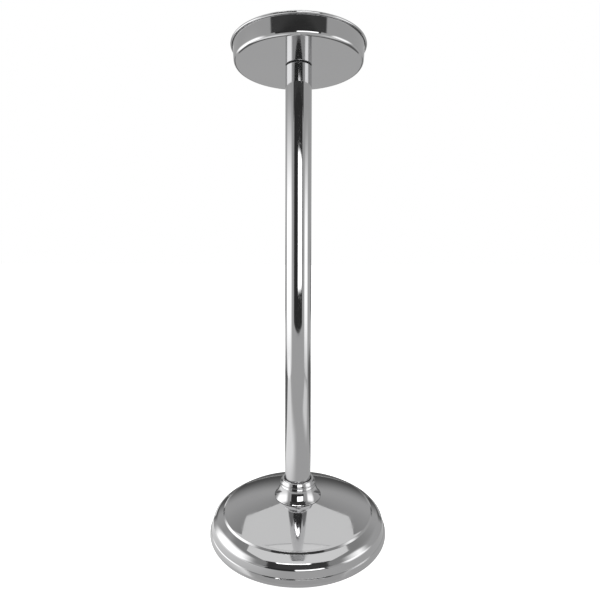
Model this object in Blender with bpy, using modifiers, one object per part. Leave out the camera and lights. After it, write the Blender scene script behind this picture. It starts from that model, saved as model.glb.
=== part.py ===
"""Pedestal stand: a shallow round tray on one tubular post, with a weighted round foot.

Units are metres, +Z is up, and the origin is the middle of the footprint on the floor.
The post is a tube with a threaded plug in each end. A bolt from below clamps the cast-iron
weight and the spun cover to the lower plug. The tray's own bolt screws into the upper plug.
A loose stepped collar rests on the cover and hides the foot of the post.
"""

import math

import bmesh
import bpy

MM = 0.001

# Driving dimensions.
TOTAL_HEIGHT = 620.0 * MM
BASE_RADIUS = 113.9 * MM
TUBE_RADIUS = 16.7 * MM
TUBE_WALL = 1.2 * MM
RIM_RADIUS = 84.9 * MM
TRAY_DEPTH = 23.7 * MM
SHEET = 0.8 * MM
CLEARANCE = 0.3 * MM

# Threads are plain cylinders here: the screw's major radius, with clearance in its hole.
TRAY_THREAD_RADIUS = 5.0 * MM
TRAY_THREAD_ENGAGED = 12.0 * MM
BASE_THREAD_RADIUS = 6.0 * MM

# The foot, from the floor up.
COVER_EDGE_Z = 1.2 * MM
COVER_SEAT_Z = 45.7 * MM
DOME_EDGE_RADIUS = 93.4 * MM
DOME_EDGE_Z = 29.2 * MM
COLLAR_TOP_Z = 67.5 * MM
COLLAR_FOOT_Z = 44.6 * MM
COLLAR_FOOT_RADIUS = 30.5 * MM
TUBE_FOOT_Z = COVER_SEAT_Z + CLEARANCE
PLUG_BODY_LENGTH = 20.0 * MM
SPIGOT_RADIUS = 9.8 * MM
SPIGOT_BOTTOM_Z = 38.0 * MM
SPIGOT_HOLE_RADIUS = SPIGOT_RADIUS + CLEARANCE
WEIGHT_BOTTOM_Z = 4.0 * MM
WEIGHT_RADIUS = 104.0 * MM
WEIGHT_EDGE_HEIGHT = 5.5 * MM
WEIGHT_RIM_Z = 12.6 * MM
WEIGHT_WEB_Z = 20.0 * MM
WEIGHT_HUB_RADIUS = 21.0 * MM
WEIGHT_BOLT_HOLE_RADIUS = 6.8 * MM
BOLT_POCKET_RADIUS = 19.0 * MM
BOLT_POCKET_Z = 17.0 * MM
RING_GROOVE_INNER = 93.0 * MM
RING_GROOVE_OUTER = 99.0 * MM
RING_GROOVE_Z = 8.0 * MM
BASE_WASHER_THICKNESS = 2.5 * MM
BASE_WASHER_RADIUS = 12.0 * MM
SPRING_WASHER_RADIUS = 10.6 * MM
BOLT_HEAD_RADIUS = 11.0 * MM
BOLT_HEAD_HEIGHT = 7.5 * MM
BOLT_END_Z = 60.0 * MM

# The tray and its fixings, from the tray's underside down.
UNDERSIDE_Z = TOTAL_HEIGHT - TRAY_DEPTH
BOLT_CUP_DEPTH = 4.5 * MM
TRAY_SEAT_Z = UNDERSIDE_Z - BOLT_CUP_DEPTH
TRAY_BOLT_HEAD_RADIUS = 9.6 * MM
SLIP_WASHER_THICKNESS = 0.5 * MM
SLIP_WASHER_TOP_Z = UNDERSIDE_Z - CLEARANCE
TUBE_TOP_Z = SLIP_WASHER_TOP_Z - SLIP_WASHER_THICKNESS - CLEARANCE
TRAY_WASHER_THICKNESS = 1.2 * MM
TRAY_WASHER_RADIUS = 14.5 * MM
TRAY_WASHER_TOP_Z = TRAY_SEAT_Z - CLEARANCE
LOCK_NUT_HEIGHT = 5.0 * MM
LOCK_NUT_ACROSS_FLATS = 17.0 * MM
LOCK_NUT_TOP_Z = TRAY_WASHER_TOP_Z - TRAY_WASHER_THICKNESS - CLEARANCE
TOP_PLUG_Z = LOCK_NUT_TOP_Z - LOCK_NUT_HEIGHT - 1.4 * MM
TOP_PLUG_LENGTH = 18.0 * MM

# Turned pieces are drawn with this many facets.
WIDE_STEPS = 48
NARROW_STEPS = 32
SMALL_STEPS = 24


def clear_scene():
    for item in list(bpy.data.objects):
        bpy.data.objects.remove(item)


def new_collection(name):
    collection = bpy.data.collections.new(name)
    bpy.context.scene.collection.children.link(collection)
    return collection


def new_material(name, colour, roughness, metallic):
    material = bpy.data.materials.new(name)
    material.use_nodes = True
    shader = material.node_tree.nodes["Principled BSDF"]
    shader.inputs["Base Color"].default_value = (*colour, 1.0)
    shader.inputs["Roughness"].default_value = roughness
    shader.inputs["Metallic"].default_value = metallic
    return material


def arc(centre, radii, start, end, count):
    """Points (r, z) on an ellipse's arc; angles in degrees from +r towards +z."""
    points = []
    for step in range(count):
        angle = math.radians(start + (end - start) * step / (count - 1))
        points.append(
            (centre[0] + radii[0] * math.cos(angle), centre[1] + radii[1] * math.sin(angle))
        )
    return points


def curve(start, control, end, count):
    """Points on a quadratic curve from start to end, pulled towards control."""
    points = []
    for step in range(count):
        t = step / (count - 1)
        points.append(
            tuple(
                (1 - t) ** 2 * a + 2 * t * (1 - t) * b + t * t * c
                for a, b, c in zip(start, control, end)
            )
        )
    return points


def ring_section(inner, outer, bottom, top):
    """A washer's rectangular section, as a closed outline running down its outer side."""
    return [(inner, top), (outer, top), (outer, bottom), (inner, bottom)]


def turned(name, outline, material, collection, steps, closed=True):
    """Turns an outline of (r, z) points about the Z axis."""
    mesh = bpy.data.meshes.new(name)
    points = [(r, 0.0, z) for r, z in outline]
    edges = [(i, i + 1) for i in range(len(points) - 1)]
    if closed:
        edges.append((len(points) - 1, 0))
    mesh.from_pydata(points, edges, [])
    item = bpy.data.objects.new(name, mesh)
    collection.objects.link(item)
    mesh.materials.append(material)
    screw = item.modifiers.new("Turn", "SCREW")
    screw.axis = "Z"
    screw.angle = 2 * math.pi
    screw.steps = steps
    screw.render_steps = steps
    screw.use_merge_vertices = True
    screw.merge_threshold = 1e-5
    screw.use_smooth_shade = True
    return item


def pressed(name, middle_line, thickness, material, collection, steps):
    """A sheet-metal shell whose section follows middle_line."""
    item = turned(name, middle_line, material, collection, steps, closed=False)
    solidify = item.modifiers.new("Sheet", "SOLIDIFY")
    solidify.thickness = thickness
    solidify.offset = 0.0
    solidify.use_even_offset = True
    return item


def prism(name, radius, bottom, top, sides, material, collection):
    """A closed upright cylinder or prism on the Z axis."""
    mesh = bpy.data.meshes.new(name)
    shape = bmesh.new()
    bmesh.ops.create_cone(
        shape,
        cap_ends=True,
        segments=sides,
        radius1=radius,
        radius2=radius,
        depth=top - bottom,
    )
    shape.to_mesh(mesh)
    shape.free()
    item = bpy.data.objects.new(name, mesh)
    item.location.z = (bottom + top) / 2
    collection.objects.link(item)
    mesh.materials.append(material)
    return item


def combine(item, other, operation):
    boolean = item.modifiers.new(operation.title(), "BOOLEAN")
    boolean.operation = operation
    boolean.solver = "EXACT"
    boolean.object = other
    other.hide_render = True
    other.display_type = "WIRE"


def post_tube(parts, chrome):
    """The post: a polished tube whose top edge is rounded over."""
    inner = TUBE_RADIUS - TUBE_WALL
    edge = TUBE_WALL * 0.8
    rounded = arc((TUBE_RADIUS - edge, TUBE_TOP_Z - edge), (edge, edge), 90, 0, 4)
    outline = [(inner, TUBE_TOP_Z), *rounded, (TUBE_RADIUS, TUBE_FOOT_Z), (inner, TUBE_FOOT_Z)]
    return turned("post_tube", outline, chrome, parts, NARROW_STEPS)


def post_top_plug(parts, steel):
    """Threaded plug fixed in the top of the tube: the tray's bolt screws into it."""
    outer = TUBE_RADIUS - TUBE_WALL - CLEARANCE
    hole = TRAY_THREAD_RADIUS + CLEARANCE
    lead_in = 1.0 * MM
    bottom = TOP_PLUG_Z - TOP_PLUG_LENGTH
    outline = [
        (hole + lead_in, TOP_PLUG_Z),
        (outer, TOP_PLUG_Z),
        (outer, bottom),
        (hole, bottom),
        (hole, TOP_PLUG_Z - lead_in),
    ]
    return turned("post_top_plug", outline, steel, parts, SMALL_STEPS)


def post_bottom_plug(parts, steel):
    """Threaded plug fixed in the foot of the tube, with a spigot that enters the weight."""
    outer = TUBE_RADIUS - TUBE_WALL - CLEARANCE
    hole = BASE_THREAD_RADIUS + CLEARANCE
    outline = [
        (hole, TUBE_FOOT_Z + PLUG_BODY_LENGTH),
        (outer, TUBE_FOOT_Z + PLUG_BODY_LENGTH),
        (outer, TUBE_FOOT_Z),
        (SPIGOT_RADIUS, TUBE_FOOT_Z),
        (SPIGOT_RADIUS, SPIGOT_BOTTOM_Z),
        (hole, SPIGOT_BOTTOM_Z),
    ]
    return turned("post_bottom_plug", outline, steel, parts, SMALL_STEPS)


def base_weight(parts, iron):
    """Cast-iron weight: a low cone with a hub under the post and a pocket for the bolt."""
    top = COVER_SEAT_Z - SHEET - CLEARANCE
    outline = [
        (SPIGOT_HOLE_RADIUS, top),
        (WEIGHT_HUB_RADIUS - 2 * MM, top),
        (WEIGHT_HUB_RADIUS, top - 3 * MM),
        (WEIGHT_HUB_RADIUS + 1.5 * MM, WEIGHT_WEB_Z + 6 * MM),
        (WEIGHT_HUB_RADIUS + 8 * MM, WEIGHT_WEB_Z),
        (WEIGHT_RADIUS - 5 * MM, WEIGHT_RIM_Z),
        (WEIGHT_RADIUS, WEIGHT_BOTTOM_Z + WEIGHT_EDGE_HEIGHT),
        (WEIGHT_RADIUS, WEIGHT_BOTTOM_Z),
        (RING_GROOVE_OUTER, WEIGHT_BOTTOM_Z),
        (RING_GROOVE_OUTER, RING_GROOVE_Z),
        (RING_GROOVE_INNER, RING_GROOVE_Z),
        (RING_GROOVE_INNER, WEIGHT_BOTTOM_Z),
        (BOLT_POCKET_RADIUS, WEIGHT_BOTTOM_Z),
        (BOLT_POCKET_RADIUS, BOLT_POCKET_Z),
        (WEIGHT_BOLT_HOLE_RADIUS, BOLT_POCKET_Z),
        (WEIGHT_BOLT_HOLE_RADIUS, SPIGOT_BOTTOM_Z - CLEARANCE),
        (SPIGOT_HOLE_RADIUS, SPIGOT_BOTTOM_Z - CLEARANCE),
    ]
    return turned("base_weight", outline, iron, parts, WIDE_STEPS)


def foot_ring(parts, rubber):
    """Rubber ring pushed into the weight's groove: the stand rests on it."""
    inner = RING_GROOVE_INNER + CLEARANCE
    outer = RING_GROOVE_OUTER - CLEARANCE
    edge = 1.0 * MM
    outline = [
        (inner, RING_GROOVE_Z - CLEARANCE),
        (outer, RING_GROOVE_Z - CLEARANCE),
        (outer, edge),
        (outer - edge, 0.0),
        (inner + edge, 0.0),
        (inner, edge),
    ]
    return turned("foot_ring", outline, rubber, parts, WIDE_STEPS)


def base_cover(parts, chrome):
    """Spun cover: a flat seat, a low dome, a stepped shoulder and two beads to the edge.

    The section is the sheet's middle line, so each outer point is moved in by half a sheet.
    """
    half = SHEET / 2
    seat_edge = 19.0 * MM
    neck = (28.0 * MM, 44.2 * MM)
    dome = curve(neck, (67.9 * MM, 38.2 * MM), (DOME_EDGE_RADIUS, DOME_EDGE_Z), 7)
    shoulder_top = (DOME_EDGE_RADIUS + 4.3 * MM, DOME_EDGE_Z - 3.6 * MM)
    shoulder_foot = (BASE_RADIUS - 4.2 * MM, 17.4 * MM)
    shoulder = curve(shoulder_top, (BASE_RADIUS - 7.4 * MM, 22.8 * MM), shoulder_foot, 6)
    edge = BASE_RADIUS - half
    middle_line = [
        (SPIGOT_HOLE_RADIUS, COVER_SEAT_Z - half),
        (seat_edge, COVER_SEAT_Z - half),
        (seat_edge + 2.0 * MM, COVER_SEAT_Z - 0.7 * MM),
        *dome,
        (DOME_EDGE_RADIUS + 1.6 * MM, DOME_EDGE_Z - 0.4 * MM),
        *shoulder,
        (edge - 2.4 * MM, 10.2 * MM),
        (edge - 1.3 * MM, 9.0 * MM),
        (edge - 0.4 * MM, 7.2 * MM),
        (edge, 5.2 * MM),
        (edge - 0.4 * MM, 3.2 * MM),
        (edge - 1.5 * MM, COVER_EDGE_Z + half + 0.4 * MM),
        (edge - 3.1 * MM, COVER_EDGE_Z + half),
        (edge - 6.1 * MM, COVER_EDGE_Z + half),
    ]
    return pressed("base_cover", middle_line, SHEET, chrome, parts, WIDE_STEPS)


def base_collar(parts, chrome):
    """Loose stepped collar: a top flange round the tube, two flared rings and a coved foot."""
    half = SHEET / 2
    bore = TUBE_RADIUS + 1.2 * MM
    top = COLLAR_TOP_Z - half
    cove_top = (bore + 4.9 * MM, top - 8.5 * MM)
    cove_pull = (bore + 6.3 * MM, top - 18.6 * MM)
    foot = (COLLAR_FOOT_RADIUS - half, COLLAR_FOOT_Z + half)
    middle_line = [
        (bore, top),
        (bore + 2.2 * MM, top),
        (bore + 2.6 * MM, top - 0.9 * MM),
        (bore + 3.1 * MM, top - 2.5 * MM),
        (bore + 4.4 * MM, top - 4.2 * MM),
        (bore + 4.1 * MM, top - 5.3 * MM),
        (bore + 5.2 * MM, top - 7.5 * MM),
        *curve(cove_top, cove_pull, foot, 7),
    ]
    return pressed("base_collar", middle_line, SHEET, chrome, parts, NARROW_STEPS)


def base_bolt_stack(parts, cutters, zinc):
    """Bolt, spring washer and flat washer that clamp the foot together from below."""
    flat_top = BOLT_POCKET_Z - CLEARANCE
    flat_bottom = flat_top - BASE_WASHER_THICKNESS
    spring_top = flat_bottom - CLEARANCE
    spring_bottom = spring_top - BASE_WASHER_THICKNESS
    head_top = spring_bottom - CLEARANCE
    head_bottom = head_top - BOLT_HEAD_HEIGHT
    hole = BASE_THREAD_RADIUS + CLEARANCE

    flat = ring_section(hole, BASE_WASHER_RADIUS, flat_bottom, flat_top)
    turned("base_flat_washer", flat, zinc, parts, SMALL_STEPS)

    spring = ring_section(hole, SPRING_WASHER_RADIUS, spring_bottom, spring_top)
    spring_washer = turned("base_spring_washer", spring, zinc, parts, SMALL_STEPS)
    split = bpy.data.meshes.new("spring_washer_split")
    shape = bmesh.new()
    bmesh.ops.create_cube(shape, size=1.0)
    bmesh.ops.scale(shape, vec=(8 * MM, 1.2 * MM, 6 * MM), verts=shape.verts)
    shape.to_mesh(split)
    shape.free()
    cutter = bpy.data.objects.new("spring_washer_split", split)
    cutter.location = (SPRING_WASHER_RADIUS - 2 * MM, 0.0, (spring_top + spring_bottom) / 2)
    cutter.rotation_euler.x = math.radians(30)
    cutters.objects.link(cutter)
    combine(spring_washer, cutter, "DIFFERENCE")

    bolt = prism("base_bolt", BOLT_HEAD_RADIUS, head_bottom, head_top, 6, zinc, parts)
    shank = prism(
        "base_bolt_shank",
        BASE_THREAD_RADIUS,
        head_bottom + BOLT_HEAD_HEIGHT / 2,
        BOLT_END_Z,
        SMALL_STEPS,
        zinc,
        cutters,
    )
    combine(bolt, shank, "UNION")


def tray_pan(parts, chrome):
    """Pressed tray: rolled rim, slightly tapered wall, flat floor and a cup for the bolt."""
    half = SHEET / 2
    bead = 1.6 * MM
    bead_line = (bead - half, bead - half)
    curl = arc((RIM_RADIUS - bead, TOTAL_HEIGHT - bead), bead_line, -90, 180, 7)
    corner = 4.0 * MM
    wall_foot = 80.9 * MM
    corner_line = (corner - half, corner - half)
    corner_arc = arc((wall_foot - corner, UNDERSIDE_Z + corner), corner_line, -5, -90, 4)
    cup_radius = 11.6 * MM
    middle_line = [
        *curl,
        *corner_arc,
        (3 * cup_radius, UNDERSIDE_Z + half),
        (cup_radius + 0.9 * MM, UNDERSIDE_Z + half),
        (cup_radius, UNDERSIDE_Z - 0.5 * MM),
        (cup_radius - 0.5 * MM, TRAY_SEAT_Z + 2 * half),
        (cup_radius - 1.2 * MM, TRAY_SEAT_Z + half),
        (TRAY_THREAD_RADIUS + CLEARANCE, TRAY_SEAT_Z + half),
    ]
    return pressed("tray_pan", middle_line, SHEET, chrome, parts, WIDE_STEPS)


def tray_bolt(parts, zinc):
    """Low domed bolt fixed through the tray: its head lies in the cup, below the floor."""
    head_bottom = TRAY_SEAT_Z + SHEET + CLEARANCE
    head_edge = 1.0 * MM
    dome_height = 2.1 * MM
    end_z = TOP_PLUG_Z - TRAY_THREAD_ENGAGED
    chamfer = 1.0 * MM
    dome = arc((0.0, head_bottom + head_edge), (TRAY_BOLT_HEAD_RADIUS, dome_height), 90, 0, 5)
    outline = [
        *dome,
        (TRAY_BOLT_HEAD_RADIUS, head_bottom),
        (TRAY_THREAD_RADIUS, head_bottom),
        (TRAY_THREAD_RADIUS, end_z + chamfer),
        (TRAY_THREAD_RADIUS - chamfer, end_z),
        (0.0, end_z),
    ]
    return turned("tray_bolt", outline, zinc, parts, SMALL_STEPS, closed=False)


def tray_fixings(parts, cutters, zinc, nylon):
    """Steel washer and lock nut that hold the bolt to the tray, and the nylon slip washer."""
    washer_bottom = TRAY_WASHER_TOP_Z - TRAY_WASHER_THICKNESS
    hole = TRAY_THREAD_RADIUS + CLEARANCE
    washer = ring_section(hole, TRAY_WASHER_RADIUS, washer_bottom, TRAY_WASHER_TOP_Z)
    turned("tray_washer", washer, zinc, parts, SMALL_STEPS)

    nut_bottom = LOCK_NUT_TOP_Z - LOCK_NUT_HEIGHT
    nut_radius = LOCK_NUT_ACROSS_FLATS / math.sqrt(3)
    nut = prism("tray_lock_nut", nut_radius, nut_bottom, LOCK_NUT_TOP_Z, 6, zinc, parts)
    bore = prism(
        "lock_nut_bore", hole, nut_bottom - MM, LOCK_NUT_TOP_Z + MM, SMALL_STEPS, zinc, cutters
    )
    combine(nut, bore, "DIFFERENCE")

    slip_bottom = SLIP_WASHER_TOP_Z - SLIP_WASHER_THICKNESS
    slip_outer = TUBE_RADIUS - 0.9 * MM
    slip = ring_section(13.4 * MM, slip_outer, slip_bottom, SLIP_WASHER_TOP_Z)
    turned("slip_washer", slip, nylon, parts, NARROW_STEPS)


def main():
    clear_scene()
    parts = new_collection("pedestal_stand")
    cutters = new_collection("cutters")
    chrome = new_material("polished_steel", (0.78, 0.79, 0.80), 0.06, 1.0)
    steel = new_material("turned_steel", (0.55, 0.55, 0.56), 0.35, 1.0)
    zinc = new_material("zinc_plate", (0.66, 0.67, 0.69), 0.28, 1.0)
    iron = new_material("painted_iron", (0.03, 0.03, 0.032), 0.55, 0.0)
    rubber = new_material("black_rubber", (0.02, 0.02, 0.02), 0.7, 0.0)
    nylon = new_material("black_nylon", (0.03, 0.03, 0.03), 0.45, 0.0)

    post_tube(parts, chrome)
    post_top_plug(parts, steel)
    post_bottom_plug(parts, steel)
    base_weight(parts, iron)
    foot_ring(parts, rubber)
    base_cover(parts, chrome)
    base_collar(parts, chrome)
    base_bolt_stack(parts, cutters, zinc)
    tray_pan(parts, chrome)
    tray_bolt(parts, zinc)
    tray_fixings(parts, cutters, zinc, nylon)


main()
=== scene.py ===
"""Looks of the pedestal tray stand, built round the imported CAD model.

Every CAD node gets one fine mesh, lathed in all but one case. Sizes that the frame's boxes give
are read from the frame. The others are named here: most are the design's driving dimensions, and
the foot's and the collar's profiles are drawn finer than the design's.
"""

import math
from collections import namedtuple

import bpy
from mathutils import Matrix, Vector

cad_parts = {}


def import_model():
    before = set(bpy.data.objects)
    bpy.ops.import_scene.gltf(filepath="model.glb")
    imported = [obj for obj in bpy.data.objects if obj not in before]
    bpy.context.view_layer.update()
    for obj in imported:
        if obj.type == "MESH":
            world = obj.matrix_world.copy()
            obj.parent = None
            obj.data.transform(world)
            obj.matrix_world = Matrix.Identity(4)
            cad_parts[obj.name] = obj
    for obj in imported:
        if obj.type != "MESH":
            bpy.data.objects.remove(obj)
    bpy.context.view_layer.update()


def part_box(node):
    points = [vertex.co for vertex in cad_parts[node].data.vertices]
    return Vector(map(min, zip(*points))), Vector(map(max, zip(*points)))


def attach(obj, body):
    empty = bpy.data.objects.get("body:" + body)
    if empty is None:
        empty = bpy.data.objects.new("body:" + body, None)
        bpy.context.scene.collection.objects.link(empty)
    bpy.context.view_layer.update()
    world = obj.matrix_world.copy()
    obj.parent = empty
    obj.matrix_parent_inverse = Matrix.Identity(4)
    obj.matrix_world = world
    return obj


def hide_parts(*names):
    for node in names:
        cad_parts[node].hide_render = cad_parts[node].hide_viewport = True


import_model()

MM = 0.001


def mm(*lengths):
    """Lengths in millimetres, as a tuple in metres."""
    return tuple(length * MM for length in lengths)


# Facets round a full turn, and the turn in degrees past which an edge is shaded sharp.
WIDE_STEPS = 256
MID_STEPS = 160
SMALL_STEPS = 96
SCREW_EDGE_ANGLE = 28
SPRING_WASHER_EDGE_ANGLE = 35

# Sheet, tube and the gaps between pieces that fit each other.
SHEET = 0.8 * MM
TUBE_WALL = 1.2 * MM
CLEARANCE = 0.3 * MM

# How far edges are rounded or chamfered.
EDGE_ROUND = 0.25 * MM
WASHER_ROUND = 0.2 * MM
SLIP_WASHER_ROUND = 0.1 * MM
TUBE_TOP_ROUND = 0.9 * MM
TUBE_BORE_ROUND = 0.15 * MM
RING_TREAD_ROUND = 1.6 * MM
PLUG_CHAMFER = 0.7 * MM

# The tray: its rolled rim, which curls from one angle to the other in degrees, its wall, its
# floor and the cup for its bolt.
RIM_BEAD = 1.6 * MM
RIM_CURL = (-90, 168)
RIM_TO_WALL = 0.3 * MM
TRAY_DEPTH = 23.7 * MM
TRAY_WALL_FOOT = 80.9 * MM
TRAY_CORNER = 3.6 * MM
TRAY_CUP_TOP = 11.9 * MM
TRAY_CUP_FOOT = 11.0 * MM
TRAY_CUP_ROUND = 1.0 * MM

# Screws: a thread is given by its radius, and a lead-in is the countersink at each end of a
# tapped hole. A ring of the outline carries the thread where it matches the thread's radius.
TRAY_THREAD = 5.0 * MM
TRAY_PITCH = 1.5 * MM
BASE_THREAD = 6.0 * MM
BASE_PITCH = 1.75 * MM
THREAD_DEPTH_PER_PITCH = 0.56
THREAD_CREST_WIDENING = 1.3
THREAD_RINGS_PER_PITCH = 10
THREAD_RING_MATCH = 0.05 * MM
LOCK_NUT_FLATS = 17.0 * MM
LOCK_NUT_CHAMFER = 0.8 * MM
LOCK_NUT_LEAD_IN = 0.6 * MM
TOP_PLUG_LEAD_IN = 1.0 * MM
BOTTOM_PLUG_LEAD_IN = 1.2 * MM
TRAY_BOLT_EDGE = 1.0 * MM
TRAY_BOLT_NECK = 1.5 * MM
TRAY_BOLT_TIP = 1.0 * MM
TRAY_BOLT_ABOVE_THREAD = 0.1 * MM
BASE_BOLT_FLATS = 19.05 * MM
BASE_BOLT_HEAD = 7.5 * MM
BASE_BOLT_FILLET = 0.6 * MM
BASE_BOLT_PLAIN_SHANK = 12.0 * MM
BASE_BOLT_BELOW_THREAD = 0.5 * MM
BASE_BOLT_CHAMFER = 1.2 * MM
# The flat faces inside the chamfers, as a share of half the width across flats.
LOCK_NUT_FACE = 0.96
BASE_BOLT_FACE = 0.95

# Washers; the spring washer's gap and slant are in degrees.
SPRING_WASHER_RISE = 0.5 * MM
SPRING_WASHER_GAP = 9
SPRING_WASHER_SLANT = 6
SLIP_WASHER_HOLE = 13.4 * MM

# The lower plug.
SPIGOT_RADIUS = 9.8 * MM
SPIGOT_HOLE = SPIGOT_RADIUS + CLEARANCE
PLUG_BODY_LENGTH = 20.0 * MM

# The cover's outer side from the post outwards: radius, height and, at a corner, its rounding.
SEAT_EDGE = 18.8 * MM
SEAT_ROLL_RADIUS = 19.4 * MM
SEAT_ROLL_DEPTH = 0.05 * MM
NECK_PULL = mm(23.0, 45.35)
DOME_NECK = mm(28.0, 44.6)
DOME_PULL = mm(67.9, 38.6)
DOME_EDGE = mm(93.5, 29.6)
COVER_STEP = [mm(95.1, 29.2, 0.7), mm(97.0, 27.3, 0.7)]
COVER_SHOULDER = [mm(104.9, 23.4, 14.0), mm(109.9, 18.4, 5.0)]
# The cover's bead, with its radii counted from the cover's edge.
COVER_BEAD = [mm(-2.2, 10.3, 0.4), mm(-1.5, 9.7, 0.5), mm(0.0, 5.6, 1.2), mm(0.0, 3.4, 1.4)]
# How far in from its edge the cover turns under, and how far in it ends.
COVER_TURN_UNDER = 1.4 * MM
COVER_TURN_UNDER_ROUND = 1.6 * MM
COVER_END = 6.1 * MM

# The collar's outer side: radius and depth below its top, curves as start, pull and end.
COLLAR_BORE = mm(17.9, 0.0)
COLLAR_FLANGE = [mm(19.9, 0.0), mm(20.6, 0.0), mm(20.8, 0.8)]
FIRST_RING = [mm(20.9, 1.0), mm(21.4, 2.6), mm(22.7, 4.2)]
FIRST_UNDERCUT = mm(22.6, 4.6)
SECOND_RING = [mm(22.2, 5.0), mm(22.5, 6.5), mm(23.5, 7.7)]
SECOND_UNDERCUT = mm(23.4, 8.0)
COVE_TOP = mm(23.1, 8.4)
COVE_PULL = mm(25.1, 17.6)
COLLAR_FOOT_EDGE = 0.35 * MM

# The cast weight: its hub, web and rim, the ring's groove and the bolt's pocket.
CASTING_FILLET = 1.2 * MM
CASTING_EDGE = 0.5 * MM
HUB_TOP_RADIUS = 19.3 * MM
HUB_STEP_RADIUS = 21.2 * MM
HUB_STEP_DEPTH = 3.0 * MM
HUB_SIDE = mm(22.5, 26.0)
WEB_TOP = mm(29.0, 20.0, 5.0)
WEB_RIM = mm(99.0, 12.6, 4.0)
WEIGHT_EDGE_HEIGHT = 5.5 * MM
GROOVE_INNER = 93.0 * MM
GROOVE_OUTER = 99.0 * MM
GROOVE_TOP = 8.0 * MM
POCKET_RADIUS = 19.0 * MM
POCKET_TOP = 17.0 * MM
BOLT_HOLE = 6.8 * MM
SPIGOT_HOLE_FOOT = 37.7 * MM

# The light tent, in metres, and how bright its pale floor is.
TENT_FRONT = -0.95
TENT_SIDE = 0.75
TENT_ROOF = 1.30
FLOOR_CARD = 0.003
CRISP = (0.02, 0.02, 0.02)
FLOOR_REACH = 30.0
FLOOR_PAINT = 0.9
FLOOR_GLOW = 0.9
FLOOR_IN_METAL = 0.50

# The camera: metres, millimetres for the lens and the sensor, degrees for its angles.
CAMERA_PLACE = (0.0, -0.574, 0.353)
CAMERA_DOWN = 2.84
CAMERA_ROLL = -0.12
CAMERA_LENS = 26.74
CAMERA_SENSOR = 36.0
CAMERA_SHIFT = (0.0029, -0.0298)


# ---------------------------------------------------------------- outlines


def arc(centre, radii, start, end, count):
    """Points (r, z) on an ellipse's arc; angles in degrees from +r towards +z."""
    points = []
    for step in range(count):
        angle = math.radians(start + (end - start) * step / (count - 1))
        points.append(
            (centre[0] + radii[0] * math.cos(angle), centre[1] + radii[1] * math.sin(angle))
        )
    return points


def curve(start, control, end, count):
    """Points on a quadratic curve from start to end, pulled towards control."""
    points = []
    for step in range(count):
        t = step / (count - 1)
        points.append(
            tuple(
                (1 - t) ** 2 * a + 2 * t * (1 - t) * b + t * t * c
                for a, b, c in zip(start, control, end)
            )
        )
    return points


def rounded(corners, closed=False, pieces=8):
    """A line through corners (r, z, radius), with each corner rounded by that radius."""
    nearly_straight = math.radians(89.5)
    # An arc takes a little less than half of a side, so that the next arc has room.
    side_share = 0.49
    count = len(corners)
    points = []
    for i, (r, z, radius) in enumerate(corners):
        here = Vector((r, z))
        is_end = not closed and i in (0, count - 1)
        if is_end or radius <= 0:
            points.append((r, z))
            continue
        before = Vector(corners[i - 1][:2]) - here
        after = Vector(corners[(i + 1) % count][:2]) - here
        a, b = before.normalized(), after.normalized()
        half = a.angle(b) / 2
        if half > nearly_straight:
            points.append((r, z))
            continue
        room = side_share * min(before.length, after.length)
        reach = min(radius / math.tan(half), room)
        radius = reach * math.tan(half)
        centre = here + (a + b).normalized() * (radius / math.sin(half))
        first = here + a * reach - centre
        last = here + b * reach - centre
        turn = first.angle_signed(last)
        for step in range(pieces + 1):
            angle = -turn * step / pieces
            cosine, sine = math.cos(angle), math.sin(angle)
            spoke = Vector((first.x * cosine - first.y * sine, first.x * sine + first.y * cosine))
            points.append(tuple(centre + spoke))
    return points


def without_repeats(points, closed):
    """The points without those that lie on the one before them."""
    kept = []
    for point in points:
        if not kept or math.dist(point, kept[-1]) > 1e-6:
            kept.append(point)
    if closed and math.dist(kept[0], kept[-1]) < 1e-6:
        kept.pop()
    return kept


def offset_line(points, distance):
    """The same line moved sideways: a positive distance is to the right of its direction."""
    # At a sharp corner the line moves at most twice the distance.
    least_share = 0.5
    moved = []
    last = len(points) - 1
    for i, point in enumerate(points):
        here = Vector(point)
        normals = []
        if i > 0:
            step = (here - Vector(points[i - 1])).normalized()
            normals.append(Vector((step.y, -step.x)))
        if i < last:
            step = (Vector(points[i + 1]) - here).normalized()
            normals.append(Vector((step.y, -step.x)))
        total = sum(normals, Vector((0.0, 0.0))).normalized()
        moved.append(tuple(here + total * distance / max(total.dot(normals[0]), least_share)))
    return moved


def edge_cap(before, end, radius, pieces=4):
    """The half round at a sheet's free edge, from its left side to its right side."""
    direction = (Vector(end) - Vector(before)).normalized()
    left = Vector((-direction.y, direction.x))
    points = []
    for step in range(1, pieces):
        angle = math.pi * step / pieces
        spoke = left * math.cos(angle) + direction * math.sin(angle)
        points.append(tuple(Vector(end) + spoke * radius))
    return points


def sheet_outline(middle_line):
    """Closed outline of the sheet whose section follows middle_line, with rounded edges."""
    half = SHEET / 2
    line = without_repeats(middle_line, closed=False)
    outline = offset_line(line, -half)
    outline += edge_cap(line[-2], line[-1], half)
    outline += reversed(offset_line(line, half))
    outline += edge_cap(line[1], line[0], half)
    return outline


# ---------------------------------------------------------------- screw threads and hexagons


Thread = namedtuple("Thread", "low high pitch depth radius internal")


def screw_thread(radius, low, high, pitch, internal=False):
    """The thread between two heights, cut as deep as its pitch asks."""
    return Thread(low, high, pitch, THREAD_DEPTH_PER_PITCH * pitch, radius, internal)


def thread_rings(radius, high, low, pitch):
    """Outline points close enough together, from high to low, to carry a thread."""
    count = round(abs(high - low) / pitch * THREAD_RINGS_PER_PITCH)
    return [(radius, high + (low - high) * i / count) for i in range(count + 1)]


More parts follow.
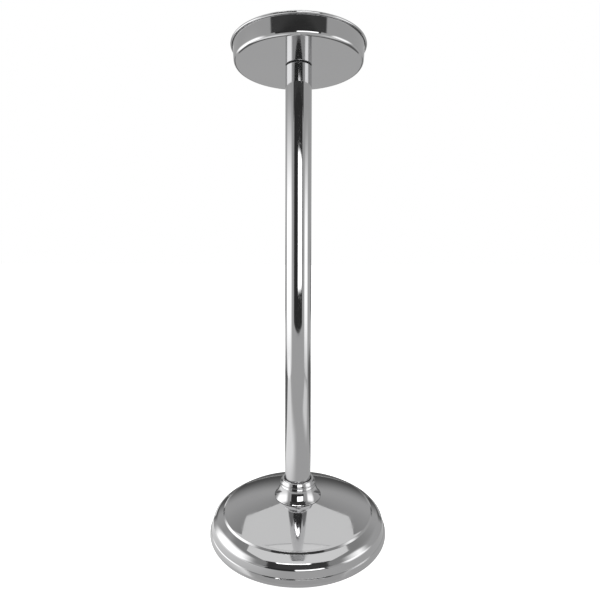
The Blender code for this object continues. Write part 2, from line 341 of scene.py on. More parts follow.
def threaded_reach(thread, r, angle, z):
    """A point's radius once the right-handed thread is cut; rings off the thread keep theirs."""
    on_thread = thread.low <= z <= thread.high and abs(r - thread.radius) < THREAD_RING_MATCH
    if not on_thread:
        return r
    run_out = min((z - thread.low) / thread.pitch, (thread.high - z) / thread.pitch, 1.0)
    phase = (z / thread.pitch - angle / (2 * math.pi)) % 1.0
    crest = min(abs(2 * phase - 1) * THREAD_CREST_WIDENING, 1.0)
    cut = thread.depth * (1 - crest) * run_out
    return r + cut if thread.internal else r - cut


def hexagon_reach(across_flats, angle):
    """A hexagon's radius at an angle; two of its corners lie on the Y axis."""
    wedge = math.pi / 3
    return across_flats / 2 / math.cos(((angle + wedge / 2) % wedge) - wedge / 2)


# ---------------------------------------------------------------- meshes


def add_mesh(name, vertices, faces):
    """A new object in the scene, with a mesh of its own."""
    mesh = bpy.data.meshes.new(name)
    mesh.from_pydata(vertices, [], faces)
    mesh.validate()
    item = bpy.data.objects.new(name, mesh)
    bpy.context.scene.collection.objects.link(item)
    return item


def shade_with_edges(item, sharpest):
    """Smooth shading, but for edges that turn by more than the angle, in degrees."""
    item.data.shade_smooth()
    item.data.set_sharp_from_angle(angle=math.radians(sharpest))


def set_turned_normals(mesh, outline, rings, closed):
    """Gives each ring the outline's own normal, so that long and short facets shade alike."""
    count = len(outline)
    normals = [Vector((0.0, 0.0, 1.0))] * len(mesh.vertices)
    for i, ring in enumerate(rings):
        total = Vector((0.0, 0.0))
        for j, k in ((i - 1, i), (i, i + 1)):
            if not closed and (j < 0 or k >= count):
                continue
            total += Vector(outline[k % count]) - Vector(outline[j % count])
        flat = Vector((-total.y, total.x)).normalized()
        for n, index in enumerate(ring):
            angle = 2 * math.pi * n / len(ring)
            normals[index] = Vector((flat.x * math.cos(angle), flat.x * math.sin(angle), flat.y))
    mesh.normals_split_custom_set_from_vertices(normals)


def faces_between(upper, lower, steps):
    """The faces from one ring of vertices to the next; on the axis a ring is one vertex."""
    faces = []
    for i in range(steps):
        j = (i + 1) % steps
        if len(upper) == 1:
            faces.append((upper[0], lower[i], lower[j]))
        elif len(lower) == 1:
            faces.append((upper[i], lower[0], upper[j]))
        else:
            faces.append((upper[i], lower[i], lower[j], upper[j]))
    return faces


def lathe(name, outline, steps, closed=True, flats=None, thread=None):
    """Turns an outline about Z. flats cuts it to a hexagon; thread cuts a screw thread.

    An outline that isn't closed starts and ends on the axis.
    """
    outline = without_repeats(outline, closed)
    vertices = []
    rings = []
    for r, z in outline:
        if r < 1e-7:
            rings.append([len(vertices)])
            vertices.append((0.0, 0.0, z))
            continue
        ring = []
        for i in range(steps):
            angle = 2 * math.pi * i / steps
            reach = r
            if flats:
                reach = min(reach, hexagon_reach(flats, angle))
            if thread:
                reach = threaded_reach(thread, reach, angle, z)
            ring.append(len(vertices))
            vertices.append((reach * math.cos(angle), reach * math.sin(angle), z))
        rings.append(ring)
    pairs = list(zip(rings, rings[1:]))
    if closed:
        pairs.append((rings[-1], rings[0]))
    faces = []
    for upper, lower in pairs:
        faces += faces_between(upper, lower, steps)
    item = add_mesh(name, vertices, faces)
    if flats or thread:
        shade_with_edges(item, SCREW_EDGE_ANGLE)
    else:
        item.data.shade_smooth()
        set_turned_normals(item.data, outline, rings, closed)
    return item


# ---------------------------------------------------------------- material nodes


def math_node(tree, operation, first, second=None):
    """A Math node; each of its inputs is a number or a socket."""
    node = tree.nodes.new("ShaderNodeMath")
    node.operation = operation
    for socket, value in zip(node.inputs, (first, second)):
        if value is None:
            continue
        if isinstance(value, (int, float)):
            socket.default_value = value
        else:
            tree.links.new(value, socket)
    return node.outputs[0]


def ramp_node(tree, factor, stops):
    """A colour ramp; each stop is a position and a grey level or a colour."""
    ramp = tree.nodes.new("ShaderNodeValToRGB")
    tree.links.new(factor, ramp.inputs["Fac"])
    elements = ramp.color_ramp.elements
    for element, (position, level) in zip(elements, stops):
        element.position = position
        element.color = (level, level, level, 1.0) if isinstance(level, float) else (*level, 1.0)
    return ramp.outputs["Color"]


def noise_node(tree, vector, scale, detail, roughness=0.5):
    node = tree.nodes.new("ShaderNodeTexNoise")
    node.inputs["Scale"].default_value = scale
    node.inputs["Detail"].default_value = detail
    node.inputs["Roughness"].default_value = roughness
    tree.links.new(vector, node.inputs["Vector"])
    return node.outputs["Fac"]


def bump_node(tree, height, distance, normal=None):
    node = tree.nodes.new("ShaderNodeBump")
    node.inputs["Distance"].default_value = distance
    tree.links.new(height, node.inputs["Height"])
    if normal is not None:
        tree.links.new(normal, node.inputs["Normal"])
    return node.outputs["Normal"]


def object_position(tree):
    return tree.nodes.new("ShaderNodeTexCoord").outputs["Object"]


def turned_position(tree, across, around):
    """Position for grain that runs round Z: across scales radius and height, around the turn."""
    height_share = 0.9
    parts = tree.nodes.new("ShaderNodeSeparateXYZ")
    tree.links.new(object_position(tree), parts.inputs[0])
    x, y, z = parts.outputs
    x_squared = math_node(tree, "MULTIPLY", x, x)
    y_squared = math_node(tree, "MULTIPLY", y, y)
    radius = math_node(tree, "SQRT", math_node(tree, "ADD", x_squared, y_squared))
    # Sines and cosines of the angle keep the grain free of a seam.
    cosine = math_node(tree, "DIVIDE", x, radius)
    sine = math_node(tree, "DIVIDE", y, radius)
    outwards = math_node(tree, "MULTIPLY", radius, across)
    upwards = math_node(tree, "MULTIPLY", z, across * height_share)
    joined = tree.nodes.new("ShaderNodeCombineXYZ")
    tree.links.new(math_node(tree, "MULTIPLY", cosine, around), joined.inputs[0])
    tree.links.new(math_node(tree, "MULTIPLY", sine, around), joined.inputs[1])
    tree.links.new(math_node(tree, "ADD", outwards, upwards), joined.inputs[2])
    return joined.outputs[0]


def new_material(name, metallic):
    """A new material, its tree and its Principled shader."""
    material = bpy.data.materials.new(name)
    material.use_nodes = True
    tree = material.node_tree
    shader = tree.nodes["Principled BSDF"]
    shader.inputs["Metallic"].default_value = metallic
    return material, tree, shader


# ---------------------------------------------------------------- the stand's materials


def polished_metal(name, colour, roughness):
    """Mirror-polished metal: faint turned grain, slow waves in the sheet, wiped smudges."""
    material, tree, shader = new_material(name, 1.0)
    position = object_position(tree)
    smudge = noise_node(tree, position, scale=28.0, detail=5.0, roughness=0.62)
    strokes = turned_position(tree, across=260.0, around=5.0)
    wiped = noise_node(tree, strokes, scale=1.0, detail=3.0)
    haze = math_node(tree, "MULTIPLY", smudge, wiped)
    rough = ramp_node(tree, haze, [(0.14, roughness[0]), (0.42, roughness[1])])
    tree.links.new(rough, shader.inputs["Roughness"])
    tint = noise_node(tree, position, scale=9.0, detail=2.0)
    darker = tuple(c * 0.965 for c in colour)
    tinted = ramp_node(tree, tint, [(0.3, darker), (0.7, colour)])
    tree.links.new(tinted, shader.inputs["Base Color"])
    waves = noise_node(tree, position, scale=34.0, detail=1.0, roughness=0.4)
    wavy = bump_node(tree, waves, 0.06 * MM)
    grain = turned_position(tree, across=2400.0, around=2.5)
    fine = noise_node(tree, grain, scale=1.0, detail=2.0)
    grained = bump_node(tree, fine, 0.00072 * MM, normal=wavy)
    tree.links.new(grained, shader.inputs["Normal"])
    return material


def plated_steel(name, colour, roughness):
    """Zinc-plated or turned steel: cloudy surface and fine tool marks."""
    material, tree, shader = new_material(name, 1.0)
    cloud = noise_node(tree, object_position(tree), scale=160.0, detail=4.0)
    rough = ramp_node(tree, cloud, [(0.3, roughness[0]), (0.7, roughness[1])])
    tree.links.new(rough, shader.inputs["Roughness"])
    bluish = (colour[0] * 0.93, colour[1] * 0.97, colour[2] * 1.02)
    clouded = ramp_node(tree, cloud, [(0.35, bluish), (0.65, colour)])
    tree.links.new(clouded, shader.inputs["Base Color"])
    tooling = turned_position(tree, across=5200.0, around=3.0)
    marks = noise_node(tree, tooling, scale=1.0, detail=2.0)
    tree.links.new(bump_node(tree, marks, 0.012 * MM), shader.inputs["Normal"])
    return material


def painted_casting(name, colour):
    """Satin black paint over a sand-cast surface, worn a little grey on its high spots."""
    material, tree, shader = new_material(name, 0.0)
    position = object_position(tree)
    sand = noise_node(tree, position, scale=620.0, detail=6.0, roughness=0.65)
    pits = noise_node(tree, position, scale=140.0, detail=3.0)
    worn = tuple(c * 2.6 for c in colour)
    paint = ramp_node(tree, sand, [(0.45, colour), (0.75, worn)])
    tree.links.new(paint, shader.inputs["Base Color"])
    rough = ramp_node(tree, pits, [(0.3, 0.42), (0.7, 0.66)])
    tree.links.new(rough, shader.inputs["Roughness"])
    coarse = bump_node(tree, pits, 0.9 * MM)
    tree.links.new(bump_node(tree, sand, 0.35 * MM, normal=coarse), shader.inputs["Normal"])
    return material


def dull_polymer(name, colour, roughness, grain_scale, grain_height):
    """Rubber or nylon: dusty in its low spots, with a fine moulded grain."""
    material, tree, shader = new_material(name, 0.0)
    position = object_position(tree)
    dust = noise_node(tree, position, scale=90.0, detail=5.0)
    dusty = tuple(c * 1.9 + 0.01 for c in colour)
    dusted = ramp_node(tree, dust, [(0.4, colour), (0.8, dusty)])
    tree.links.new(dusted, shader.inputs["Base Color"])
    rough = ramp_node(tree, dust, [(0.3, roughness - 0.08), (0.7, roughness + 0.08)])
    tree.links.new(rough, shader.inputs["Roughness"])
    grain = noise_node(tree, position, scale=grain_scale, detail=4.0)
    tree.links.new(bump_node(tree, grain, grain_height), shader.inputs["Normal"])
    return material


POLISHED = polished_metal("polished_steel", (0.64, 0.64, 0.645), roughness=(0.03, 0.10))
TURNED = plated_steel("turned_steel", (0.46, 0.46, 0.47), roughness=(0.28, 0.42))
ZINC = plated_steel("zinc_plate", (0.60, 0.61, 0.62), roughness=(0.22, 0.38))
IRON = painted_casting("painted_iron", (0.018, 0.018, 0.019))
RUBBER = dull_polymer(
    "black_rubber", (0.014, 0.014, 0.014), roughness=0.72, grain_scale=900.0, grain_height=0.12 * MM
)
NYLON = dull_polymer(
    "black_nylon", (0.05, 0.05, 0.052), roughness=0.45, grain_scale=1500.0, grain_height=0.03 * MM
)


# ---------------------------------------------------------------- pieces


def fit(item, material, body, node):
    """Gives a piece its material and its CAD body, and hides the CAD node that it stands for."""
    item.data.materials.append(material)
    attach(item, body)
    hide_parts(node)


def post_tube():
    """Plain tube, rounded over at its top edge."""
    low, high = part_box("post_tube")
    inner = high.x - TUBE_WALL
    outline = rounded(
        [
            (inner, high.z, TUBE_BORE_ROUND),
            (high.x, high.z, TUBE_TOP_ROUND),
            (high.x, low.z, EDGE_ROUND),
            (inner, low.z, EDGE_ROUND),
        ],
        closed=True,
        pieces=10,
    )
    tube = lathe("post_tube_fine", outline, MID_STEPS)
    fit(tube, POLISHED, "stand", "post_tube")


def tray_pan():
    """Rolled rim, slightly tapered wall, flat floor and the cup that holds the bolt."""
    low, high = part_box("tray_pan")
    half = SHEET / 2
    floor = high.z - TRAY_DEPTH + half
    seat = low.z + half
    bead_centre = (high.x - RIM_BEAD, high.z - RIM_BEAD)
    bead_radii = (RIM_BEAD - half, RIM_BEAD - half)
    curl = arc(bead_centre, bead_radii, *RIM_CURL, count=26)
    wall_and_floor = rounded(
        [
            (high.x - 2 * RIM_BEAD + half, bead_centre[1] - RIM_TO_WALL, 0),
            (TRAY_WALL_FOOT - half, floor, TRAY_CORNER),
            (TRAY_CUP_TOP, floor, TRAY_CUP_ROUND),
            (TRAY_CUP_FOOT, seat, TRAY_CUP_ROUND),
            (TRAY_THREAD + CLEARANCE, seat, 0),
        ],
        pieces=16,
    )
    pan = lathe("tray_pan_spun", sheet_outline([*curl, *wall_and_floor]), WIDE_STEPS)
    fit(pan, POLISHED, "tray", "tray_pan")


def base_cover():
    """Flat seat, low dome, stepped shoulder, bead and turned-in edge."""
    low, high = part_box("base_cover")
    edge = high.x
    seat = [(SPIGOT_HOLE, high.z), (SEAT_EDGE, high.z)]
    into_dome = curve((SEAT_ROLL_RADIUS, high.z - SEAT_ROLL_DEPTH), NECK_PULL, DOME_NECK, count=12)
    dome = curve(DOME_NECK, DOME_PULL, DOME_EDGE, count=48)
    bead = [(edge + r, z, rounding) for r, z, rounding in COVER_BEAD]
    sides = rounded(
        [
            (*DOME_EDGE, 0),
            *COVER_STEP,
            *COVER_SHOULDER,
            *bead,
            (edge - COVER_TURN_UNDER, low.z, COVER_TURN_UNDER_ROUND),
            (edge - COVER_END, low.z, 0),
        ],
        pieces=14,
    )
    outer_side = without_repeats([*seat, *into_dome, *dome, *sides], closed=False)
    middle_line = offset_line(outer_side, SHEET / 2)
    cover = lathe("base_cover_spun", sheet_outline(middle_line), WIDE_STEPS)
    fit(cover, POLISHED, "stand", "base_cover")


def base_collar():
    """Loose stepped collar: a top flange round the tube, two flared rings and a coved foot."""
    low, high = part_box("base_collar")
    down_to_cove = [
        COLLAR_BORE,
        *curve(*COLLAR_FLANGE, count=6),
        *curve(*FIRST_RING, count=10),
        FIRST_UNDERCUT,
        *curve(*SECOND_RING, count=8),
        SECOND_UNDERCUT,
    ]
    cove_foot = (high.x, high.z - low.z - COLLAR_FOOT_EDGE)
    cove = curve(COVE_TOP, COVE_PULL, cove_foot, count=30)
    outer_side = [(r, high.z - depth) for r, depth in [*down_to_cove, *cove]]
    # The foot is ground flat, so its edge is thinner than the sheet.
    inner_side = [(r, max(z, low.z)) for r, z in offset_line(outer_side, SHEET)]
    inner_side[-1] = (high.x, low.z)
    collar = lathe("base_collar_pressed", [*outer_side, *reversed(inner_side)], MID_STEPS)
    fit(collar, POLISHED, "collar", "base_collar")


def washer(name, node, inner, material, body, round_off=WASHER_ROUND):
    """A flat ring that fills its CAD node's box, with slightly rounded edges."""
    low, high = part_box(node)
    outline = rounded(
        [
            (inner, high.z, round_off),
            (high.x, high.z, round_off),
            (high.x, low.z, round_off),
            (inner, low.z, round_off),
        ],
        closed=True,
        pieces=4,
    )
    fit(lathe(name, outline, SMALL_STEPS), material, body, node)


def split_washer():
    """Spring washer: a square section wound once round, its cut ends standing apart."""
    low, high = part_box("base_spring_washer")
    inner = BASE_THREAD + CLEARANCE
    gap = math.radians(SPRING_WASHER_GAP)
    thickness = high.z - low.z - SPRING_WASHER_RISE
    section = rounded(
        [
            (inner, thickness, EDGE_ROUND),
            (high.x, thickness, EDGE_ROUND),
            (high.x, 0.0, EDGE_ROUND),
            (inner, 0.0, EDGE_ROUND),
        ],
        closed=True,
        pieces=3,
    )
    count = len(section)
    vertices = []
    for i in range(SMALL_STEPS + 1):
        turn = i / SMALL_STEPS
        foot = low.z + SPRING_WASHER_RISE * turn
        for r, z in section:
            # The cut is slanted, so the section's upper edge lags behind its lower edge.
            slant = math.radians(SPRING_WASHER_SLANT) * (1 - 2 * z / thickness)
            angle = gap / 2 + (2 * math.pi - gap) * turn + slant
            vertices.append((r * math.cos(angle), r * math.sin(angle), foot + z))
    faces = []
    for i in range(SMALL_STEPS):
        start, end = i * count, (i + 1) * count
        for j in range(count):
            k = (j + 1) % count
            faces.append((start + j, start + k, end + k, end + j))
    faces.append(tuple(reversed(range(count))))
    faces.append(tuple(range(SMALL_STEPS * count, (SMALL_STEPS + 1) * count)))
    item = add_mesh("base_spring_washer_split", vertices, faces)
    shade_with_edges(item, SPRING_WASHER_EDGE_ANGLE)
    fit(item, ZINC, "stand", "base_spring_washer")


def tray_bolt():
    """Domed head that lies in the tray's cup, and the threaded shank below it."""
    low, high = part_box("tray_bolt")
    head_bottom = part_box("tray_pan")[0].z + SHEET + CLEARANCE
    head_edge = head_bottom + TRAY_BOLT_EDGE
    thread_low = low.z + TRAY_BOLT_TIP
    thread_high = head_bottom - TRAY_BOLT_NECK - TRAY_BOLT_ABOVE_THREAD
    dome = arc((0.0, head_edge), (high.x, high.z - head_edge), start=90, end=0, count=18)
    underside = rounded(
        [
            (high.x, head_edge, 0),
            (high.x, head_bottom, EDGE_ROUND),
            (TRAY_THREAD, head_bottom, EDGE_ROUND),
            (TRAY_THREAD, head_bottom - TRAY_BOLT_NECK, 0),
        ],
        pieces=4,
    )
    shank = thread_rings(TRAY_THREAD, thread_high, thread_low, TRAY_PITCH)
    tip = [(TRAY_THREAD - TRAY_BOLT_TIP, low.z), (0.0, low.z)]
    outline = [*dome, *underside, *shank, *tip]
    thread = screw_thread(TRAY_THREAD, thread_low, thread_high, TRAY_PITCH)
    bolt = lathe("tray_bolt_domed", outline, SMALL_STEPS, closed=False, thread=thread)
    fit(bolt, ZINC, "tray", "tray_bolt")


def tray_lock_nut():
    """Hexagon nut with both faces chamfered and a threaded bore."""
    low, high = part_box("tray_lock_nut")
    corner = high.y
    face = LOCK_NUT_FLATS / 2 * LOCK_NUT_FACE
    hole = TRAY_THREAD + CLEARANCE
    thread_low = low.z + LOCK_NUT_LEAD_IN
    thread_high = high.z - LOCK_NUT_LEAD_IN
    outline = [
        (hole + LOCK_NUT_LEAD_IN, high.z),
        (face, high.z),
        (corner, high.z - LOCK_NUT_CHAMFER),
        (corner, low.z + LOCK_NUT_CHAMFER),
        (face, low.z),
        (hole + LOCK_NUT_LEAD_IN, low.z),
        *thread_rings(hole, thread_low, thread_high, TRAY_PITCH),
    ]
    thread = screw_thread(hole, thread_low, thread_high, TRAY_PITCH, internal=True)
    nut = lathe("tray_lock_nut_hex", outline, SMALL_STEPS, flats=LOCK_NUT_FLATS, thread=thread)
    fit(nut, ZINC, "tray", "tray_lock_nut")


def base_bolt():
    """Hexagon-head bolt, head down, with a threaded upper end."""
    low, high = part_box("base_bolt")
    head_top = low.z + BASE_BOLT_HEAD
    face = BASE_BOLT_FLATS / 2 * BASE_BOLT_FACE
    thread_low = head_top + BASE_BOLT_PLAIN_SHANK
    thread_high = high.z - BASE_BOLT_CHAMFER
    end = [(0.0, high.z), (BASE_THREAD - BASE_BOLT_CHAMFER, high.z)]
    shank = thread_rings(BASE_THREAD, thread_high, thread_low, BASE_PITCH)
    head = rounded(
        [
            (BASE_THREAD, thread_low - BASE_BOLT_BELOW_THREAD, 0),
            (BASE_THREAD, head_top, BASE_BOLT_FILLET),
            (high.y, head_top, EDGE_ROUND),
            (high.y, low.z + BASE_BOLT_CHAMFER, 0),
            (face, low.z, EDGE_ROUND),
            (0.0, low.z, 0),
        ],
        pieces=4,
    )
    outline = [*end, *shank, *head]
    thread = screw_thread(BASE_THREAD, thread_low, thread_high, BASE_PITCH)
    bolt = lathe(
        "base_bolt_hex", outline, SMALL_STEPS, closed=False, flats=BASE_BOLT_FLATS, thread=thread
    )
    fit(bolt, ZINC, "stand", "base_bolt")


def post_top_plug():
    """Turned plug in the top of the tube, tapped for the tray's bolt."""
    low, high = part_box("post_top_plug")
    hole = TRAY_THREAD + CLEARANCE
    thread_low = low.z + TOP_PLUG_LEAD_IN
    thread_high = high.z - TOP_PLUG_LEAD_IN
    outline = [
        (hole + TOP_PLUG_LEAD_IN, high.z),
        (high.x - PLUG_CHAMFER, high.z),
        (high.x, high.z - PLUG_CHAMFER),
        (high.x, low.z + PLUG_CHAMFER),
        (high.x - PLUG_CHAMFER, low.z),
        (hole + TOP_PLUG_LEAD_IN, low.z),
        *thread_rings(hole, thread_low, thread_high, TRAY_PITCH),
    ]
    thread = screw_thread(hole, thread_low, thread_high, TRAY_PITCH, internal=True)
    plug = lathe("post_top_plug_tapped", outline, SMALL_STEPS, thread=thread)
    fit(plug, TURNED, "stand", "post_top_plug")


def post_bottom_plug():
    """Turned plug in the foot of the tube, with its spigot, tapped for the base bolt."""
    low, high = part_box("post_bottom_plug")
    hole = BASE_THREAD + CLEARANCE
    shoulder = high.z - PLUG_BODY_LENGTH
    thread_low = low.z + BOTTOM_PLUG_LEAD_IN
    thread_high = high.z - BOTTOM_PLUG_LEAD_IN
    outline = [
        (hole + BOTTOM_PLUG_LEAD_IN, high.z),
        (high.x - PLUG_CHAMFER, high.z),
        (high.x, high.z - PLUG_CHAMFER),
        (high.x, shoulder + EDGE_ROUND),
        (high.x - EDGE_ROUND, shoulder),
        (SPIGOT_RADIUS, shoulder),
        (SPIGOT_RADIUS, low.z + PLUG_CHAMFER),
        (SPIGOT_RADIUS - PLUG_CHAMFER, low.z),
        (hole + BOTTOM_PLUG_LEAD_IN, low.z),
        *thread_rings(hole, thread_low, thread_high, BASE_PITCH),
    ]
    thread = screw_thread(hole, thread_low, thread_high, BASE_PITCH, internal=True)
    plug = lathe("post_bottom_plug_tapped", outline, SMALL_STEPS, thread=thread)
    fit(plug, TURNED, "stand", "post_bottom_plug")


def base_weight():
    """Cast weight: a low cone with a filleted hub, the bolt's pocket and the ring's groove."""
    low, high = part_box("base_weight")
    hub = [
        (SPIGOT_HOLE, high.z, CASTING_EDGE),
        (HUB_TOP_RADIUS, high.z, CASTING_EDGE),
        (HUB_STEP_RADIUS, high.z - HUB_STEP_DEPTH, CASTING_FILLET),
        (*HUB_SIDE, CASTING_FILLET),
    ]
    web = [
        WEB_TOP,
        WEB_RIM,
        (high.x, low.z + WEIGHT_EDGE_HEIGHT, CASTING_FILLET),
        (high.x, low.z, CASTING_EDGE),
    ]
    groove = [
        (GROOVE_OUTER, low.z, CASTING_EDGE),
        (GROOVE_OUTER, GROOVE_TOP, CASTING_EDGE),
        (GROOVE_INNER, GROOVE_TOP, CASTING_EDGE),
        (GROOVE_INNER, low.z, CASTING_EDGE),
    ]
    pocket = [
        (POCKET_RADIUS, low.z, CASTING_FILLET),
        (POCKET_RADIUS, POCKET_TOP, CASTING_FILLET),
        (BOLT_HOLE, POCKET_TOP, CASTING_EDGE),
        (BOLT_HOLE, SPIGOT_HOLE_FOOT, CASTING_EDGE),
        (SPIGOT_HOLE, SPIGOT_HOLE_FOOT, CASTING_EDGE),
    ]
    outline = rounded([*hub, *web, *groove, *pocket], closed=True, pieces=6)
    weight = lathe("base_weight_cast", outline, WIDE_STEPS)
    fit(weight, IRON, "stand", "base_weight")


def foot_ring():
    """Moulded rubber ring with a half-round tread."""
    low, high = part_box("foot_ring")
    inner = GROOVE_INNER + CLEARANCE
    outline = rounded(
        [
            (inner, high.z, EDGE_ROUND),
            (high.x, high.z, EDGE_ROUND),
            (high.x, low.z, RING_TREAD_ROUND),
            (inner, low.z, RING_TREAD_ROUND),
        ],
        closed=True,
        pieces=8,
    )
    ring = lathe("foot_ring_moulded", outline, WIDE_STEPS)
    fit(ring, RUBBER, "stand", "foot_ring")


def flat_washers():
    """The base bolt's washer, the tray's washer and the nylon washer that the tray turns on."""
    base_hole = BASE_THREAD + CLEARANCE
    tray_hole = TRAY_THREAD + CLEARANCE
    washer("base_flat_washer_ring", "base_flat_washer", base_hole, ZINC, "stand")
    washer("tray_washer_ring", "tray_washer", tray_hole, ZINC, "tray")
    washer(
        "slip_washer_ring",
        "slip_washer",
        SLIP_WASHER_HOLE,
        NYLON,
        "tray_carrier",
        SLIP_WASHER_ROUND,
    )


# ---------------------------------------------------------------- studio


def emission_node(tree, level):
    node = tree.nodes.new("ShaderNodeEmission")
    node.inputs["Strength"].default_value = level
    return node.outputs[0]


def mix_node(tree, factor, first, second):
    """The first shader where the factor is 0, and the second where it is 1."""
    node = tree.nodes.new("ShaderNodeMixShader")
    for socket, value in zip(node.inputs, (factor, first, second)):
        tree.links.new(value, socket)
    return node.outputs[0]


def stage_material(name):
    """A new material, its empty tree and the socket that its surface goes into."""
    material = bpy.data.materials.new(name)
    material.use_nodes = True
    tree = material.node_tree
    tree.nodes.clear()
    output = tree.nodes.new("ShaderNodeOutputMaterial")
    return material, tree, output.inputs["Surface"]


def soft_card(name, low, high, level, fade):
    """A lit studio card between two corners that only reflections and light see.

    One of its three sizes is zero. fade is, for each axis, the share of its half size over which
    it fades out towards its edges.
    """
    low, high = Vector(low), Vector(high)
    half = (high - low) / 2
    flat_axis = list(half).index(0.0)
    corners = []
    for first, second in ((-1, -1), (1, -1), (1, 1), (-1, 1)):
        corner = [first, second]
        corner.insert(flat_axis, 0)
        corners.append(corner)
    card = add_mesh(name, corners, [(0, 1, 2, 3)])
    card.location = (low + high) / 2
    card.scale = [size or 1.0 for size in half]
    material, tree, surface = stage_material(name)
    parts = tree.nodes.new("ShaderNodeSeparateXYZ")
    tree.links.new(object_position(tree), parts.inputs[0])
    strengths = []
    for axis, share in enumerate(fade):
        if axis == flat_axis:
            continue
        edge = tree.nodes.new("ShaderNodeMapRange")
        edge.interpolation_type = "SMOOTHSTEP"
        tree.links.new(math_node(tree, "ABSOLUTE", parts.outputs[axis]), edge.inputs["Value"])
        edge.inputs["From Min"].default_value = 1.0 - share
        edge.inputs["From Max"].default_value = 1.0
        edge.inputs["To Min"].default_value = 1.0
        edge.inputs["To Max"].default_value = 0.0
        strengths.append(edge.outputs[0])
    clear = tree.nodes.new("ShaderNodeBsdfTransparent").outputs[0]
    strength = math_node(tree, "MULTIPLY", *strengths)
    faded = mix_node(tree, strength, clear, emission_node(tree, level))
    tree.links.new(faded, surface)
    card.data.materials.append(material)
    card.visible_camera = False
    card.visible_shadow = False


def studio():
    """A light tent, seen only by reflections: a dark gap in front, soft boxes and a bright roof."""
    front, side, roof, floor = TENT_FRONT, TENT_SIDE, TENT_ROOF, FLOOR_CARD
    # A card's name, its two corners, its brightness and how it fades.
    soft_card("tent_gap", (-0.72, front, 0.10), (0.66, front, roof), 0.035, CRISP)
    soft_card("gap_top", (-0.98, front + 0.01, 0.90), (0.98, front + 0.01, 1.50), 0.06, (0.12,) * 3)
    soft_card("gap_roof", (-0.8, front, roof), (0.8, -0.55, roof), 0.05, CRISP)
    soft_card("tent_window", (-0.06, -0.93, 0.235), (0.56, -0.93, 0.73), 2.4, (0.10, 0, 0.14))
    soft_card("left_softbox", (-side, -0.60, -0.20), (-side, 0.60, 0.90), 1.8, (0, 0.6, 0.85))
    soft_card("right_softbox", (side, -0.62, -0.14), (side, 0.10, 0.80), 1.6, (0, 0.6, 0.85))
    soft_card("left_floor", (-1.10, -0.40, floor), (-0.02, 0.40, floor), 1.05, (0.35, 0.6, 0))
    soft_card("right_floor", (0.25, -0.45, floor), (0.75, 0.05, floor), 0.9, (0.6, 0.6, 0))
    soft_card("back_floor", (-1.2, 0.12, 0.004), (1.2, 0.90, 0.004), 0.14, (0.4, 0.25, 0))
    soft_card("roof_panel", (-0.80, -0.55, roof), (0.80, 0.45, roof), 0.90, CRISP)
    soft_card("back_panel", (-0.80, 0.45, roof), (0.80, 1.45, roof), 0.82, CRISP)
    soft_card("roof_lamp", (-0.50, -0.75, 1.29), (0.30, -0.60, 1.29), 5.0, (0.10, 0.3, 0))
    soft_card("back_foot", (-2.1, 1.9, -0.80), (2.1, 1.9, 0.80), 0.09, (0.3, 0, 0.9))


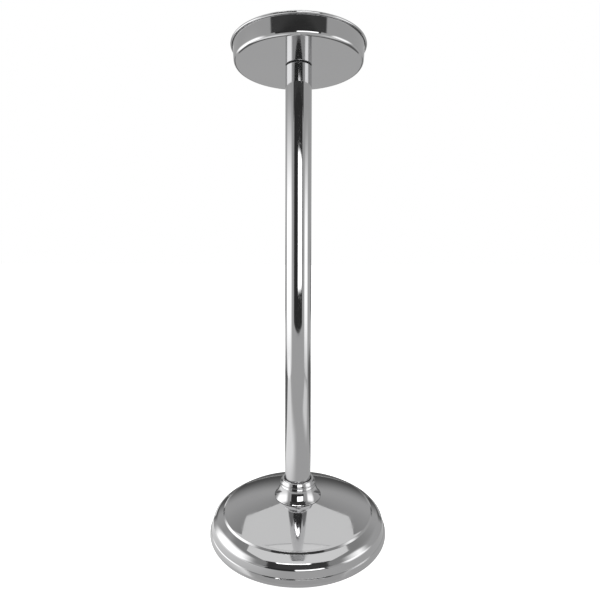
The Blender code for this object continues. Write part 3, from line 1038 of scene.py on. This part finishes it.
def world():
    """White to the camera; elsewhere the tent's walls, which are darker higher up."""
    scene = bpy.context.scene
    scene.world = bpy.data.worlds.new("tent")
    scene.world.use_nodes = True
    tree = scene.world.node_tree
    tree.nodes.clear()
    output = tree.nodes.new("ShaderNodeOutputWorld")
    path = tree.nodes.new("ShaderNodeLightPath")
    walls = tree.nodes.new("ShaderNodeBackground")
    backdrop = tree.nodes.new("ShaderNodeBackground")
    direction = tree.nodes.new("ShaderNodeSeparateXYZ")
    coordinates = tree.nodes.new("ShaderNodeTexCoord")
    tree.links.new(coordinates.outputs["Generated"], direction.inputs[0])
    wall_level = ramp_node(tree, direction.outputs["Z"], [(0.42, 0.46), (0.75, 0.30)])
    tree.links.new(wall_level, walls.inputs["Color"])
    backdrop.inputs["Color"].default_value = (1.0, 1.0, 1.0, 1.0)
    to_camera = path.outputs["Is Camera Ray"]
    seen = mix_node(tree, to_camera, walls.outputs[0], backdrop.outputs[0])
    tree.links.new(seen, output.inputs["Surface"])


def studio_floor():
    """A pale floor: almost white to the camera, mid grey in the metal, and clear from below."""
    reach = FLOOR_REACH
    corners = [(-reach, -reach, 0.0), (reach, -reach, 0.0), (reach, reach, 0.0), (-reach, reach, 0.0)]
    floor = add_mesh("studio_floor", corners, [(0, 1, 2, 3)])
    material, tree, surface = stage_material("pale_floor")
    paint = tree.nodes.new("ShaderNodeBsdfDiffuse")
    paint.inputs["Color"].default_value = (FLOOR_PAINT, FLOOR_PAINT, FLOOR_PAINT, 1.0)
    seen = tree.nodes.new("ShaderNodeAddShader")
    tree.links.new(paint.outputs[0], seen.inputs[0])
    tree.links.new(emission_node(tree, FLOOR_GLOW), seen.inputs[1])
    to_camera = tree.nodes.new("ShaderNodeLightPath").outputs["Is Camera Ray"]
    in_metal = emission_node(tree, FLOOR_IN_METAL)
    from_above = mix_node(tree, to_camera, in_metal, seen.outputs[0])
    below = tree.nodes.new("ShaderNodeNewGeometry").outputs["Backfacing"]
    clear = tree.nodes.new("ShaderNodeBsdfTransparent").outputs[0]
    tree.links.new(mix_node(tree, below, from_above, clear), surface)
    floor.data.materials.append(material)


def camera():
    """Close in front, just above half the stand's height, looking slightly down."""
    data = bpy.data.cameras.new("camera")
    view = bpy.data.objects.new("camera", data)
    bpy.context.scene.collection.objects.link(view)
    data.sensor_width = CAMERA_SENSOR
    data.lens = CAMERA_LENS
    data.shift_x, data.shift_y = CAMERA_SHIFT
    view.location = CAMERA_PLACE
    view.rotation_euler = (math.radians(90 - CAMERA_DOWN), math.radians(CAMERA_ROLL), 0.0)
    bpy.context.scene.camera = view


# ---------------------------------------------------------------- the scene


post_tube()
tray_pan()
base_cover()
base_collar()
tray_bolt()
tray_lock_nut()
base_bolt()
post_top_plug()
post_bottom_plug()
base_weight()
foot_ring()
split_washer()
flat_washers()

studio()
world()
studio_floor()
camera()
bpy.context.scene.view_settings.view_transform = "Standard"
